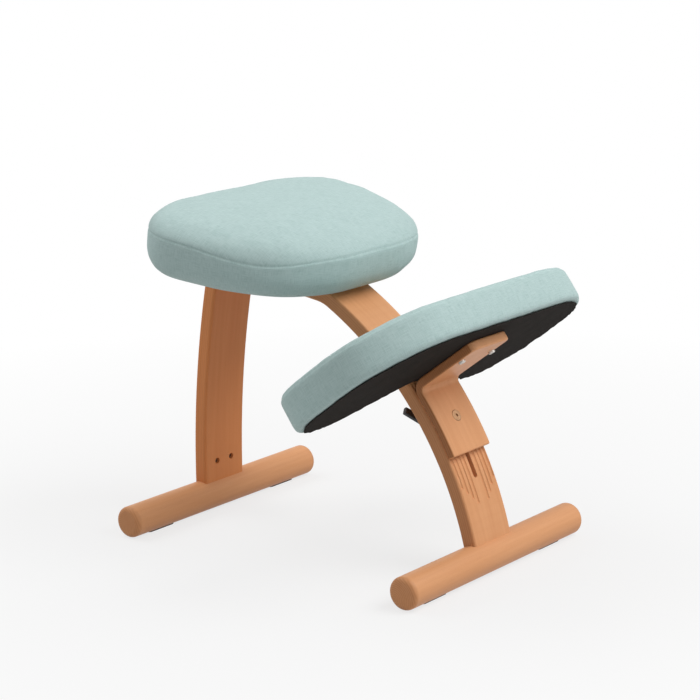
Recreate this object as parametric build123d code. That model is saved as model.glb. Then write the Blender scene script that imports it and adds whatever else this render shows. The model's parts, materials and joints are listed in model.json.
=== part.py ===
from build123d import *
from math import asin, cos, degrees, radians, sin, sqrt
import os

# Kneeling chair: a fixed seat on two bent legs, and a knee rest that slides along the front leg.
# Millimetres. X runs across, the knees are towards -Y, Z is up, the origin is on the floor.

# Foot bars
BAR_D = 51.0
BAR_LENGTH = 443.0
BAR_END_ROUND = 8.0
BAR_SPACING = 557.0
BAR_MID_Y = 6.0

# Anti-slip pads, each on a flat planed under a bar
FOOT_PAD_W = 16.0
FOOT_PAD_L = 60.0
FOOT_PAD_T = 2.0
FOOT_PAD_X = 150.0
FOOT_PAD_ROUND = 6.0

# Bent laminated legs
LEG_W = 94.0
LEG_T = 24.0
LEG_ARRIS = 4.0
LEG_MORTISE = 12.0
FLANGE_CORNER_R = 14.0
FRONT_ARC_R = 567.0
FRONT_ARC_DROP = 87.0
FRONT_BEND_R = 60.0
FRONT_FLANGE = 88.0
REAR_ARC_R = 1653.0
REAR_ARC_Z = 48.0
REAR_BEND_R = 36.0
REAR_FLANGE = 58.0

# Slot and flutes of the slide track on the front leg
REST_ANGLE = 33.9
TRAVEL_DOWN = 92.0
TRAVEL_UP = 48.0
SLOT_W = 9.0
SLOT_END_GAP = 1.0
FLUTE_R = 3.0
FLUTE_DEPTH = 2.0
FLUTE_PITCH = 9.0
FLUTE_FIRST_X = 13.0
FLUTES_A_SIDE = 4
FLUTE_TOP_ANGLE = 47.0
FLUTE_LOW_ANGLE = 19.0
FLUTE_LOW_RISE = 0.11
SLIDE_CLEAR = 0.3

# Knee bracket, bent to an L
BRACKET_ARM_T = 13.0
BRACKET_LOW_ANGLE = 28.1
BRACKET_FLANGE_T = 15.0
BRACKET_FLANGE_END = -96.0
BRACKET_INNER_R = 9.0
BRACKET_OUTER_R = 24.0
BRACKET_ARRIS = 3.0
BRACKET_CORNER_R = 12.0
RIB_LOW_ANGLE = 33.7
RIB_TOP_ANGLE = 38.4

# Upholstery
CLOTH_T = 0.8
COVER_T = 1.2
BOARD_T = 12.0
BOARD_MARGIN = 2.0
RIM_W = 24.0
CLOTH_MARGIN = 3.0
TUCK_CLEAR = 0.3

# Seat cushion: place of its underside, then its plan corners as x, y and radius
SEAT_Y = 109.9
SEAT_Z = 429.1
SEAT_TILT = 7.9
SEAT_CORNERS = [(76, -163, 157), (172, -124, 139), (222, -35, 154), (252, 108, 78), (132, 163, 170)]
SEAT_T = 96.0
SEAT_TUCK_R = 42.0
SEAT_TOP_R = 20.0
SEAT_WAIST = 1.5
SEAT_CROWN = 9.0

# Knee cushion, with a notch behind for the leg
KNEE_Y = -193.4
KNEE_Z = 312.5
KNEE_TILT = -36.75
KNEE_CORNERS = [
    (190, -151.3, 150),
    (283, -70, 105),
    (279, 75, 75),
    (228, 137, 55),
    (155, 131, 42),
    (54, 37, 45),
]
KNEE_T = 61.0
KNEE_TUCK_R = 10.0
KNEE_TOP_R = 9.0
KNEE_WAIST = 1.5
KNEE_CROWN = 8.0
KNEE_CROWN_Y = -45.0

# Fasteners
M6 = 6.0
M6_HOLE = 6.6
M6_HEAD_D = 11.0
M6_HEAD_H = 3.5
M6_SOCKET = 4.0
M6_SOCKET_DEPTH = 2.1
M6_HEAD_ROUND = 1.2
WASHER_D = 16.0
WASHER_T = 1.5
WASHER_POCKET_CLEAR = 0.5
THREAD_CLEAR = 0.05
TEE_FLANGE_D = 19.0
TEE_FLANGE_T = 1.5
TEE_BARREL_D = 8.0
TEE_BARREL_L = 9.0
TEE_POCKET_CLEAR = 0.5
BOLT_TAIL = 2.0
FOOT_BOLT_X = 17.0
FOOT_BOLT_SEAT = 12.0
BARREL_NUT_D = 10.0
BARREL_NUT_L = 14.0
BARREL_NUT_RISE = 57.0
BARREL_NUT_CLEAR = 0.1
SEAT_BOLT_X = 27.0
FRONT_BOLT_ROWS = (24.0, 64.0)
REAR_BOLT_ROWS = (14.0, 44.0)
BRACKET_BOLT_X = 38.0
BRACKET_BOLT_Y = -57.0

# Clamp bolt and lever
M8 = 8.0
CLAMP_HOLE = 8.4
CLAMP_HEAD_D = 18.0
CLAMP_HEAD_T = 3.0
CLAMP_RECESS = 2.4
CLAMP_RECESS_CLEAR = 0.3
CLAMP_SOCKET = 5.0
CLAMP_SOCKET_DEPTH = 1.8
CLAMP_HEAD_ROUND = 1.0
CLAMP_TAIL_SHORT = 1.0
CLAMP_WASHER_D = 26.0
CLAMP_WASHER_T = 2.0
CLAMP_WASHER_GAP = 0.35
LEVER_HUB_D = 24.0
LEVER_HUB_H = 19.0
LEVER_HUB_ROUND = 2.0
LEVER_GAP = 0.3
LEVER_REACH = 58.0
LEVER_RISE = 6.0
LEVER_ROOT_W = 17.0
LEVER_TIP_W = 13.0
LEVER_ROOT_T = 8.0
LEVER_TIP_T = 7.0
LEVER_ARM_ROUND = 2.5
LEVER_ARM_DROP = 10.0
LEVER_BORE = 9.0
LEVER_ANGLE = 47.0
INSERT_D = 14.0
INSERT_H = 13.0
CAP_D = 16.0
CAP_T = 2.0

# Reach of a cut past the face that it opens, and margin for picking edges by place
OVERCUT = 1.0

# Values that follow from the sizes above
BAR_R = BAR_D / 2
FOOT_FLAT = sqrt(BAR_R**2 - (FOOT_PAD_W / 2) ** 2)
BAR_Z = FOOT_FLAT + FOOT_PAD_T
FRONT_BAR_Y = BAR_MID_Y - BAR_SPACING / 2
REAR_BAR_Y = BAR_MID_Y + BAR_SPACING / 2
LEG_FOOT_Z = BAR_Z + BAR_R - LEG_MORTISE
FRONT_MID_R = FRONT_ARC_R - LEG_T / 2
REAR_MID_R = REAR_ARC_R - LEG_T / 2
FRONT_CENTRE = Vector(0, FRONT_BAR_Y + sqrt(FRONT_MID_R**2 - (BAR_Z + FRONT_ARC_DROP) ** 2), -FRONT_ARC_DROP)
REAR_CENTRE = Vector(0, REAR_BAR_Y - sqrt(REAR_MID_R**2 - (BAR_Z - REAR_ARC_Z) ** 2), REAR_ARC_Z)
FLUTE_PATH_R = FRONT_ARC_R + FLUTE_R - FLUTE_DEPTH
BRACKET_BACK_R = FRONT_ARC_R + SLIDE_CLEAR
BRACKET_FRONT_R = FRONT_ARC_R + BRACKET_ARM_T


def tilted(y, z, tilt):
    """Plane through a point of the middle plane, sloping up towards +Y by the tilt."""
    slope = radians(tilt)
    return Plane((0, y, z), x_dir=(1, 0, 0), z_dir=(0, -sin(slope), cos(slope)))


SEAT = tilted(SEAT_Y, SEAT_Z, SEAT_TILT)
KNEE = tilted(KNEE_Y, KNEE_Z, KNEE_TILT)


def along_front(angle, radius):
    """Point of the front leg's arc, by its angle above the floor as seen from the arc's centre."""
    turn = radians(angle)
    return FRONT_CENTRE + Vector(0, -cos(turn), sin(turn)) * radius


def along_rear(angle, radius):
    turn = radians(angle)
    return REAR_CENTRE + Vector(0, cos(turn), sin(turn)) * radius


def arc(centre, start, end):
    """Edge of a circle round the centre, the short way from start to end."""
    middle = (start + end) * 0.5 - centre
    return ThreePointArc(start, centre + middle.normalized() * (start - centre).length, end)


def around_track(section, low, top):
    """Sweep a section, drawn at angle 0 of the front arc, along the track between two angles."""
    axis = Axis(FRONT_CENTRE, (-1, 0, 0))
    return revolve(section.rotate(axis, low), axis, top - low)


def front_slab(section_centre_r):
    """Plane at angle 0 of the front arc: its X runs across, its Y runs outwards."""
    return Plane(along_front(0, section_centre_r), x_dir=(1, 0, 0), z_dir=(0, 0, 1))


def facing_track(angle, radius):
    """Plane on the front arc, with Z pointing back through the leg."""
    turn = radians(angle)
    return Plane(along_front(angle, radius), x_dir=(1, 0, 0), z_dir=(0, cos(turn), -sin(turn)))


def side_solid(edges, width):
    """Solid of a side view, extruded evenly to both sides of the middle plane."""
    return extrude(make_face(edges), width / 2, dir=(1, 0, 0), both=True)


def rounded_arrises(solid, width, radius, floor):
    """Round the long edges of both side faces, above the given height."""
    rims = [e for e in solid.edges() if abs(abs(e.center().X) - width / 2) < 0.01 and e.center().Z > floor]
    return fillet(rims, radius)


def rod(diameter, low, high):
    """Cylinder on the Z axis between two heights."""
    return Pos(0, 0, low) * Cylinder(diameter / 2, high - low, align=(Align.CENTER, Align.CENTER, Align.MIN))


def cap_screw(shank_d, length, head_d, head_h, head_round, socket, socket_depth):
    """Screw pointing up, with its head under the height 0 and a hexagon socket in it."""
    screw = rod(shank_d, 0, length) + rod(head_d, -head_h, 0)
    screw = fillet(screw.edges().group_by(Axis.Z)[0], head_round)
    hexagon = RegularPolygon(socket / 2, 6, major_radius=False)
    return screw - Pos(0, 0, -head_h) * extrude(hexagon, socket_depth)


def m6_screw(length):
    return cap_screw(M6, length, M6_HEAD_D, M6_HEAD_H, M6_HEAD_ROUND, M6_SOCKET, M6_SOCKET_DEPTH)


def ring(outer_d, inner_d, low, high):
    return rod(outer_d, low, high) - rod(inner_d, low, high)


# Foot bars


def foot_bar(y):
    bar = Rot(0, 90, 0) * Cylinder(BAR_R, BAR_LENGTH)
    bar = fillet(bar.edges().filter_by(GeomType.CIRCLE), BAR_END_ROUND)
    for side in (-1, 1):
        flat = Box(FOOT_PAD_L, BAR_D, BAR_R, align=(Align.CENTER, Align.CENTER, Align.MAX))
        bar -= Pos(side * FOOT_PAD_X, 0, -FOOT_FLAT) * flat
    return Pos(0, y, BAR_Z) * bar


def foot_pads():
    plan = RectangleRounded(FOOT_PAD_L, FOOT_PAD_W, FOOT_PAD_ROUND)
    pad = extrude(plan, FOOT_PAD_T)
    return [Pos(side * FOOT_PAD_X, y, 0) * pad for y in (FRONT_BAR_Y, REAR_BAR_Y) for side in (-1, 1)]


# Legs


def bend_angle(centre, arc_r, bend_r, slope):
    """Angle where a leg's arc runs into the bend that brings it level with the seat's underside."""
    depth = (centre - SEAT.origin).dot(SEAT.z_dir)
    return degrees(asin((-bend_r - depth) / (arc_r - bend_r))) + slope


def leg_side_view(centre, point_on, arc_r, bend_r, slope, run, flange):
    """Closed side view of a leg: its arc, its bend and its straight flange under the seat."""
    turn = bend_angle(centre, arc_r, bend_r, slope)
    bend_centre = point_on(turn, arc_r - bend_r)
    skins = []
    for depth in (0, LEG_T):
        foot_angle = degrees(asin((LEG_FOOT_Z - centre.Z) / (arc_r - depth)))
        foot = point_on(foot_angle, arc_r - depth)
        knee = point_on(turn, arc_r - depth)
        crest = bend_centre + SEAT.z_dir * (bend_r - depth)
        skins.append((foot, knee, crest, crest + run * flange))
    edges = []
    for foot, knee, crest, end in skins:
        edges += [arc(centre, foot, knee), arc(bend_centre, knee, crest), Line(crest, end)]
    edges += [Line(skins[0][3], skins[1][3]), Line(skins[0][0], skins[1][0])]
    return edges


def bent_leg(edges, run):
    leg = side_solid(edges, LEG_W)
    tips = leg.edges().filter_by(Axis((0, 0, 0), SEAT.z_dir)).sort_by(Axis((0, 0, 0), run))[-2:]
    leg = fillet(tips, FLANGE_CORNER_R)
    return rounded_arrises(leg, LEG_W, LEG_ARRIS, LEG_FOOT_Z + OVERCUT)


FRONT_RUN = SEAT.y_dir
REAR_RUN = SEAT.y_dir * -1
FRONT_BEND_OUT = FRONT_BEND_R + LEG_T
REAR_BEND_OUT = REAR_BEND_R + LEG_T


def flange_root(centre, point_on, arc_r, bend_r, slope):
    """Place along the seat where a leg's flange begins."""
    turn = bend_angle(centre, arc_r, bend_r, slope)
    return (point_on(turn, arc_r - bend_r) - SEAT.origin).dot(SEAT.y_dir)


FRONT_ROOT = flange_root(FRONT_CENTRE, along_front, FRONT_ARC_R, FRONT_BEND_OUT, -SEAT_TILT)
REAR_ROOT = flange_root(REAR_CENTRE, along_rear, REAR_ARC_R, REAR_BEND_OUT, SEAT_TILT)
SEAT_BOLT_Y = [FRONT_ROOT + row for row in FRONT_BOLT_ROWS] + [REAR_ROOT - row for row in REAR_BOLT_ROWS]
SEAT_BOLT_SPOTS = [(x, y) for x in (-SEAT_BOLT_X, SEAT_BOLT_X) for y in SEAT_BOLT_Y]


def slide_slot():
    """Through slot for the clamp bolt, with round ends."""
    low = REST_ANGLE - degrees((TRAVEL_DOWN + SLOT_END_GAP) / FRONT_ARC_R)
    top = REST_ANGLE + degrees((TRAVEL_UP + SLOT_END_GAP) / FRONT_ARC_R)
    section = front_slab(FRONT_MID_R) * Rectangle(SLOT_W, LEG_T * 2)
    slot = around_track(section, low, top)
    for angle in (low, top):
        slot += facing_track(angle, FRONT_MID_R) * rod(SLOT_W, -LEG_T, LEG_T)
    return slot


def flute_lines():
    """Places across the leg of the flutes and of the bracket's ribs."""
    steps = [FLUTE_FIRST_X + FLUTE_PITCH * index for index in range(FLUTES_A_SIDE)]
    return [-x for x in steps] + steps


def track_bead(x, radius, low, top):
    """Round bead along the track with ball ends: a cutter's path, or a rib that runs in it."""
    section = front_slab(FLUTE_PATH_R) * Pos(x, 0, 0) * Circle(radius)
    bead = around_track(section, low, top)
    for angle in (low, top):
        bead += Pos(along_front(angle, FLUTE_PATH_R) + Vector(x, 0, 0)) * Sphere(radius)
    return bead


def front_leg():
    edges = leg_side_view(
        FRONT_CENTRE, along_front, FRONT_ARC_R, FRONT_BEND_OUT, -SEAT_TILT, FRONT_RUN, FRONT_FLANGE
    )
    leg = bent_leg(edges, FRONT_RUN) - slide_slot()
    for x in flute_lines():
        leg -= track_bead(x, FLUTE_R, FLUTE_LOW_ANGLE + FLUTE_LOW_RISE * abs(x), FLUTE_TOP_ANGLE)
    return leg


def rear_leg():
    edges = leg_side_view(REAR_CENTRE, along_rear, REAR_ARC_R, REAR_BEND_OUT, SEAT_TILT, REAR_RUN, REAR_FLANGE)
    return bent_leg(edges, REAR_RUN)


# Bolts that join the legs to the bars


def foot_joint(bar_y, centre, point_on, middle_r):
    """Planes of one foot bolt, pointing up the leg from the bar's axis, and of its barrel nut."""
    bar_axis = Vector(0, bar_y, BAR_Z)
    angle = degrees(asin((BAR_Z - centre.Z) / middle_r) + BARREL_NUT_RISE / middle_r)
    nut = point_on(angle, middle_r)
    bolt_plane = Plane(bar_axis, x_dir=(1, 0, 0), z_dir=nut - bar_axis)
    nut_plane = Plane(nut, x_dir=(1, 0, 0), z_dir=centre - nut)
    return bolt_plane, nut_plane, (nut - bar_axis).length


FRONT_JOINT = foot_joint(FRONT_BAR_Y, FRONT_CENTRE, along_front, FRONT_MID_R)
REAR_JOINT = foot_joint(REAR_BAR_Y, REAR_CENTRE, along_rear, REAR_MID_R)


def at_foot_bolts(plane, shape):
    return [plane * Pos(side * FOOT_BOLT_X, 0, 0) * shape for side in (-1, 1)]


def foot_bolt(rise):
    length = FOOT_BOLT_SEAT + rise + BARREL_NUT_D / 2
    return Pos(0, 0, -FOOT_BOLT_SEAT) * m6_screw(length)


def foot_bolt_path(rise):
    """Clearance hole through a bar and into its leg, with a counterbore from below."""
    seat = -FOOT_BOLT_SEAT - WASHER_T
    hole = rod(M6_HOLE, seat, rise + BARREL_NUT_D / 2 + BOLT_TAIL)
    return hole + rod(WASHER_D + 2 * WASHER_POCKET_CLEAR, seat - BAR_D, -FOOT_BOLT_SEAT)


def barrel_nuts(bolt_plane, nut_plane, rise):
    """Cross dowels of one leg, bored for the bolts that come up it."""
    blank = rod(BARREL_NUT_D, -BARREL_NUT_L / 2, BARREL_NUT_L / 2)
    bore = rod(M6 + 2 * THREAD_CLEAR, rise - BARREL_NUT_D, rise + BARREL_NUT_D)
    pairs = zip(at_foot_bolts(nut_plane, blank), at_foot_bolts(bolt_plane, bore))
    return [nut - hole for nut, hole in pairs]


def barrel_nut_hole():
    """Blind hole from the inner face of a leg."""
    return rod(BARREL_NUT_D + BARREL_NUT_CLEAR, -BARREL_NUT_L / 2 - BARREL_NUT_CLEAR, LEG_T)


# Cushions


def outline(corners, inset=0.0, shrink=1.0, shrink_y=0.0):
    """Closed plan line of a cushion, drawn in by the inset, then shrunk towards the middle."""
    mirrored = [(-x, y, r) for x, y, r in reversed(corners)]
    loop = corners + mirrored
    points = []
    radii = []
    for index, (x, y, radius) in enumerate(loop):
        here = Vector(x, y)
        arriving = (here - Vector(*loop[index - 1][:2])).normalized()
        leaving = (Vector(*loop[(index + 1) % len(loop)][:2]) - here).normalized()
        first = Vector(-arriving.Y, arriving.X)
        second = Vector(-leaving.Y, leaving.X)
        moved = here + (first + second) * (inset / (1 + first.dot(second)))
        outward = arriving.cross(leaving).Z > 0
        points.append((moved.X * shrink, shrink_y + (moved.Y - shrink_y) * shrink))
        radii.append((radius - inset if outward else radius + inset) * shrink)
    return FilletPolyline(*points, radius=radii, close=True)


def plate(corners, inset, low, high):
    """Flat plate with a cushion's plan, between two heights."""
    return Pos(0, 0, low) * extrude(make_face(outline(corners, inset)), high - low)


def cushion(corners, thick, tuck_r, top_r, waist, crown, crown_y, skin=0.0):
    """Padded form: tucked in below, sides drawn in a little, rolled top edge and a crowned top."""
    rise = [
        (0, tuck_r, 1.0),
        (tuck_r * 0.18, tuck_r * 0.43, 1.0),
        (tuck_r * 0.55, tuck_r * 0.11, 1.0),
        (tuck_r, 0, 1.0),
        ((tuck_r + thick - top_r) / 2, waist, 1.0),
        (thick - top_r, 0, 1.0),
        (thick - top_r * 0.3, top_r * 0.29, 1.0),
        (thick + crown * 0.1, top_r * 1.2, 0.98),
        (thick + crown * 0.7, top_r * 1.2, 0.64),
        (thick + crown, top_r * 1.2, 0.24),
    ]
    squeeze = 1 - 2 * skin / (thick + crown)
    sections = []
    for height, inset, shrink in rise:
        wire = outline(corners, inset + skin, shrink, crown_y)
        sections.append(Pos(0, 0, skin + height * squeeze) * make_face(wire))
    return loft(sections, ruled=True)


class Upholstery:
    """Board, foam, cover and black under-cloth of one cushion, in the cushion's own plane."""

    def __init__(self, corners, thick, tuck_r, top_r, waist, crown, crown_y, bolt_spots):
        form = (corners, thick, tuck_r, top_r, waist, crown, crown_y)
        lift = Pos(0, 0, CLOTH_T)
        board_low = CLOTH_T + COVER_T
        board_top = board_low + BOARD_T
        pocket_top = board_top + TEE_FLANGE_T + BOLT_TAIL + TEE_POCKET_CLEAR
        opening = tuck_r + COVER_T + BOARD_MARGIN + RIM_W
        inner = lift * cushion(*form, skin=COVER_T)
        self.bolt_spots = bolt_spots
        self.board_top = board_top
        self.cover = lift * cushion(*form) - inner - plate(corners, opening, 0, board_low)
        board = plate(corners, tuck_r + COVER_T + BOARD_MARGIN, board_low, board_top)
        cloth = plate(corners, tuck_r + CLOTH_MARGIN, 0, CLOTH_T)
        cloth += plate(corners, opening + TUCK_CLEAR, CLOTH_T, board_low)
        self.foam = inner - board
        for x, y in bolt_spots:
            spot = Pos(x, y, 0)
            self.foam -= spot * rod(TEE_FLANGE_D + 2 * TEE_POCKET_CLEAR, board_top, pocket_top)
            board -= spot * rod(TEE_BARREL_D, 0, board_top)
            cloth -= spot * rod(M6_HOLE, 0, board_low)
        self.board = board
        self.cloth = cloth

    def tee_nuts(self):
        nut = ring(TEE_FLANGE_D, M6 + 2 * THREAD_CLEAR, self.board_top, self.board_top + TEE_FLANGE_T)
        nut += ring(TEE_BARREL_D, M6 + 2 * THREAD_CLEAR, self.board_top - TEE_BARREL_L, self.board_top)
        return [Pos(x, y, 0) * nut for x, y in self.bolt_spots]

    def bolts(self, grip):
        """Bolts from below the piece of the given thickness, up through the tee nuts."""
        length = grip + self.board_top + TEE_FLANGE_T + BOLT_TAIL
        bolt = m6_screw(length)
        return [Pos(x, y, -grip) * bolt for x, y in self.bolt_spots]

    def holes(self, grip):
        """Clearance holes through the piece that the bolts hold."""
        return [Pos(x, y, 0) * rod(M6_HOLE, -grip - OVERCUT, OVERCUT) for x, y in self.bolt_spots]


# Knee bracket


def meet_arc(height, radius):
    """Where a line at a height of the knee cushion's plane meets a circle round the front arc's centre."""
    start = KNEE.origin + KNEE.z_dir * height - FRONT_CENTRE
    along = start.dot(KNEE.y_dir)
    reach = sqrt(along**2 - start.length**2 + radius**2)
    return FRONT_CENTRE + start + KNEE.y_dir * (-along - reach)


def knee_bracket():
    low_back = along_front(BRACKET_LOW_ANGLE, BRACKET_BACK_R)
    low_front = along_front(BRACKET_LOW_ANGLE, BRACKET_FRONT_R)
    outer = meet_arc(0, BRACKET_BACK_R)
    inner = meet_arc(-BRACKET_FLANGE_T, BRACKET_FRONT_R)
    tip_top = KNEE.origin + KNEE.y_dir * BRACKET_FLANGE_END
    tip_low = tip_top - KNEE.z_dir * BRACKET_FLANGE_T
    edges = [
        arc(FRONT_CENTRE, low_back, outer),
        Line(outer, tip_top),
        Line(tip_top, tip_low),
        Line(tip_low, inner),
        arc(FRONT_CENTRE, inner, low_front),
        Line(low_front, low_back),
    ]
    bracket = side_solid(edges, LEG_W)
    across = bracket.edges().filter_by(Axis.X)
    bracket = fillet(across.sort_by_distance(inner)[0], BRACKET_INNER_R)
    across = bracket.edges().filter_by(Axis.X)
    bracket = fillet(across.sort_by_distance(outer)[0], BRACKET_OUTER_R)
    tips = bracket.edges().filter_by(Axis((0, 0, 0), KNEE.z_dir)).sort_by_distance(tip_top)[:2]
    bracket = fillet(tips, BRACKET_CORNER_R)
    bracket = fillet(bracket.edges().filter_by(Axis.X).sort_by_distance(low_front)[0], BRACKET_ARRIS)
    rims = [e for e in bracket.edges() if abs(abs(e.center().X) - LEG_W / 2) < 0.01]
    fronts = [e for e in rims if (e.center() - FRONT_CENTRE).length > BRACKET_FRONT_R - OVERCUT]
    bracket = fillet(fronts, BRACKET_ARRIS)
    for x in flute_lines():
        bracket += track_bead(x, FLUTE_R - SLIDE_CLEAR, RIB_LOW_ANGLE, RIB_TOP_ANGLE)
    clamp = facing_track(REST_ANGLE, FRONT_ARC_R)
    recess = rod(CLAMP_HEAD_D + 2 * CLAMP_RECESS_CLEAR, -BRACKET_ARM_T * 2, CLAMP_RECESS - BRACKET_ARM_T)
    bracket -= clamp * rod(CLAMP_HOLE, -BRACKET_ARM_T * 2, LEG_T)
    return bracket - clamp * recess


# Clamp bolt and lever, in a plane on the leg's front face with Z through the leg

CLAMP = facing_track(REST_ANGLE, FRONT_ARC_R)
WASHER_LOW = LEG_T + CLAMP_WASHER_GAP
HUB_LOW = WASHER_LOW + CLAMP_WASHER_T + LEVER_GAP
HUB_TOP = HUB_LOW + LEVER_HUB_H


def clamp_bolt():
    head_top = CLAMP_RECESS - BRACKET_ARM_T
    length = HUB_LOW + INSERT_H - CLAMP_TAIL_SHORT - head_top
    bolt = cap_screw(
        M8, length, CLAMP_HEAD_D, CLAMP_HEAD_T, CLAMP_HEAD_ROUND, CLAMP_SOCKET, CLAMP_SOCKET_DEPTH
    )
    return Pos(0, 0, head_top) * bolt


def clamp_lever():
    """Moulded lever: a hub over the insert, and an arm that leans away from the leg."""
    hub = rod(LEVER_HUB_D, HUB_LOW, HUB_TOP)
    hub = fillet(hub.edges().group_by(Axis.Z)[-1], LEVER_HUB_ROUND)
    arm_z = HUB_TOP - LEVER_ARM_DROP
    root = Pos(0, 0, arm_z) * Rot(0, 90, 0)
    tip = Pos(LEVER_REACH, 0, arm_z + LEVER_RISE) * Rot(0, 90, 0)
    sections = [
        root * RectangleRounded(LEVER_ROOT_T, LEVER_ROOT_W, LEVER_ARM_ROUND),
        tip * RectangleRounded(LEVER_TIP_T, LEVER_TIP_W, LEVER_ARM_ROUND),
    ]
    lever = hub + loft(sections)
    lever -= rod(INSERT_D, HUB_LOW, HUB_LOW + INSERT_H)
    lever -= rod(LEVER_BORE, HUB_LOW, HUB_TOP - CAP_T)
    return Rot(0, 0, 180 + LEVER_ANGLE) * (lever - rod(CAP_D, HUB_TOP - CAP_T, HUB_TOP))


def save(name, shapes):
    """Write one node: a single solid, or a group of like solids."""
    solids = shapes if isinstance(shapes, list) else [shapes]
    export_step(Compound(children=[s for shape in solids for s in shape.solids()]), f"parts/{name}.step")


def main():
    os.makedirs("parts", exist_ok=True)
    seat = Upholstery(
        SEAT_CORNERS, SEAT_T, SEAT_TUCK_R, SEAT_TOP_R, SEAT_WAIST, SEAT_CROWN, 0, SEAT_BOLT_SPOTS
    )
    knee_spots = [(side * BRACKET_BOLT_X, BRACKET_BOLT_Y) for side in (-1, 1)]
    knee = Upholstery(
        KNEE_CORNERS, KNEE_T, KNEE_TUCK_R, KNEE_TOP_R, KNEE_WAIST, KNEE_CROWN, KNEE_CROWN_Y, knee_spots
    )

    legs = {"front": front_leg(), "rear": rear_leg()}
    bars = {"front": foot_bar(FRONT_BAR_Y) - legs["front"], "rear": foot_bar(REAR_BAR_Y) - legs["rear"]}
    bolts = []
    washers = []
    nuts = []
    for end, (bolt_plane, nut_plane, rise) in (("front", FRONT_JOINT), ("rear", REAR_JOINT)):
        for path in at_foot_bolts(bolt_plane, foot_bolt_path(rise)):
            bars[end] -= path
            legs[end] -= path
        for hole in at_foot_bolts(nut_plane, barrel_nut_hole()):
            legs[end] -= hole
        for hole in seat.holes(LEG_T):
            legs[end] -= SEAT * hole
        washer = ring(WASHER_D, M6_HOLE, -FOOT_BOLT_SEAT - WASHER_T, -FOOT_BOLT_SEAT)
        bolts += at_foot_bolts(bolt_plane, Pos(0, 0, -WASHER_T) * foot_bolt(rise))
        washers += at_foot_bolts(bolt_plane, washer)
        nuts += barrel_nuts(bolt_plane, nut_plane, rise)

    for end in ("front", "rear"):
        save(f"{end}_foot_bar", bars[end])
        save(f"{end}_leg", legs[end])
    save("foot_pads", foot_pads())
    save("foot_bolts", bolts)
    save("foot_bolt_washers", washers)
    save("barrel_nuts", nuts)

    washer = ring(WASHER_D, M6_HOLE, -LEG_T - WASHER_T, -LEG_T)
    save("seat_board", SEAT * seat.board)
    save("seat_foam", SEAT * seat.foam)
    save("seat_cover", SEAT * seat.cover)
    save("seat_dust_cover", SEAT * seat.cloth)
    save("seat_tee_nuts", [SEAT * nut for nut in seat.tee_nuts()])
    save("seat_bolts", [SEAT * bolt for bolt in seat.bolts(LEG_T + WASHER_T)])
    save("seat_bolt_washers", [SEAT * Pos(x, y, 0) * washer for x, y in SEAT_BOLT_SPOTS])

    bracket = knee_bracket()
    for hole in knee.holes(BRACKET_FLANGE_T):
        bracket -= KNEE * hole
    save("knee_bracket", bracket)
    save("knee_board", KNEE * knee.board)
    save("knee_foam", KNEE * knee.foam)
    save("knee_cover", KNEE * knee.cover)
    save("knee_dust_cover", KNEE * knee.cloth)
    save("bracket_tee_nuts", [KNEE * nut for nut in knee.tee_nuts()])
    save("bracket_bolts", [KNEE * bolt for bolt in knee.bolts(BRACKET_FLANGE_T)])

    insert = ring(INSERT_D, M8 + 2 * THREAD_CLEAR, HUB_LOW, HUB_LOW + INSERT_H)
    save("clamp_bolt", CLAMP * clamp_bolt())
    save("clamp_washer", CLAMP * ring(CLAMP_WASHER_D, CLAMP_HOLE, WASHER_LOW, WASHER_LOW + CLAMP_WASHER_T))
    save("clamp_lever", CLAMP * clamp_lever())
    save("lever_insert", CLAMP * insert)
    save("lever_cap", CLAMP * rod(CAP_D, HUB_TOP - CAP_T, HUB_TOP))


if __name__ == "__main__":
    main()
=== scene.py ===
import json
from math import cos, exp, pi, radians, sin

import bmesh
import bpy
from bpy.props import FloatProperty, FloatVectorProperty, IntProperty, PointerProperty
from mathutils import Matrix, Vector, noise
from mathutils.kdtree import KDTree

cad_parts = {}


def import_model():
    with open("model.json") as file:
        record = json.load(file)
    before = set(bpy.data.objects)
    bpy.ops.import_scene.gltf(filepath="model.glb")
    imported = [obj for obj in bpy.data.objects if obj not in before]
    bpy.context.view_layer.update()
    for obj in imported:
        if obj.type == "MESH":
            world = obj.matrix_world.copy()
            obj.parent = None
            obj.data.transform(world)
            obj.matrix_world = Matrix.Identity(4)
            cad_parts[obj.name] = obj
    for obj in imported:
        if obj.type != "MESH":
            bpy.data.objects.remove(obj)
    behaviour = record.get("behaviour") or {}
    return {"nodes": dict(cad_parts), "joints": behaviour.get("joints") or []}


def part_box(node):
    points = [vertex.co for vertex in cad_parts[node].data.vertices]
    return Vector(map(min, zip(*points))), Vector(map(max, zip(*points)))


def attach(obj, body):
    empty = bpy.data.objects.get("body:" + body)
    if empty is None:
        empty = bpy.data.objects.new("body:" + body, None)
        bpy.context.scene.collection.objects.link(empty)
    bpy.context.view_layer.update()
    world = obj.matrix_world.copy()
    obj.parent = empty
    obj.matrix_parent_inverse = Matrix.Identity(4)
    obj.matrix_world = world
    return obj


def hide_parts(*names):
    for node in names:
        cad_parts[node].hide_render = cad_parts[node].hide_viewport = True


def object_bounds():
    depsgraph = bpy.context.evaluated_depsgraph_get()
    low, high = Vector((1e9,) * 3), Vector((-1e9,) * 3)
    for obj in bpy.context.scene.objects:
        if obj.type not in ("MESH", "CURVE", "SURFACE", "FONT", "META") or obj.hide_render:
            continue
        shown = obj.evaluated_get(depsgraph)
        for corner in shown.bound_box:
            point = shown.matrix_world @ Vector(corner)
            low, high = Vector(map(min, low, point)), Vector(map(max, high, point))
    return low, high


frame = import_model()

bl_info = {
    "name": "Kneeling chair",
    "version": (1, 0, 0),
    "blender": (4, 5, 0),
    "location": "View3D > Sidebar > Chair",
    "description": "Dresses the frame of a kneeling chair with cushions, cloth, wood and fittings",
    "category": "Object",
}

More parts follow.
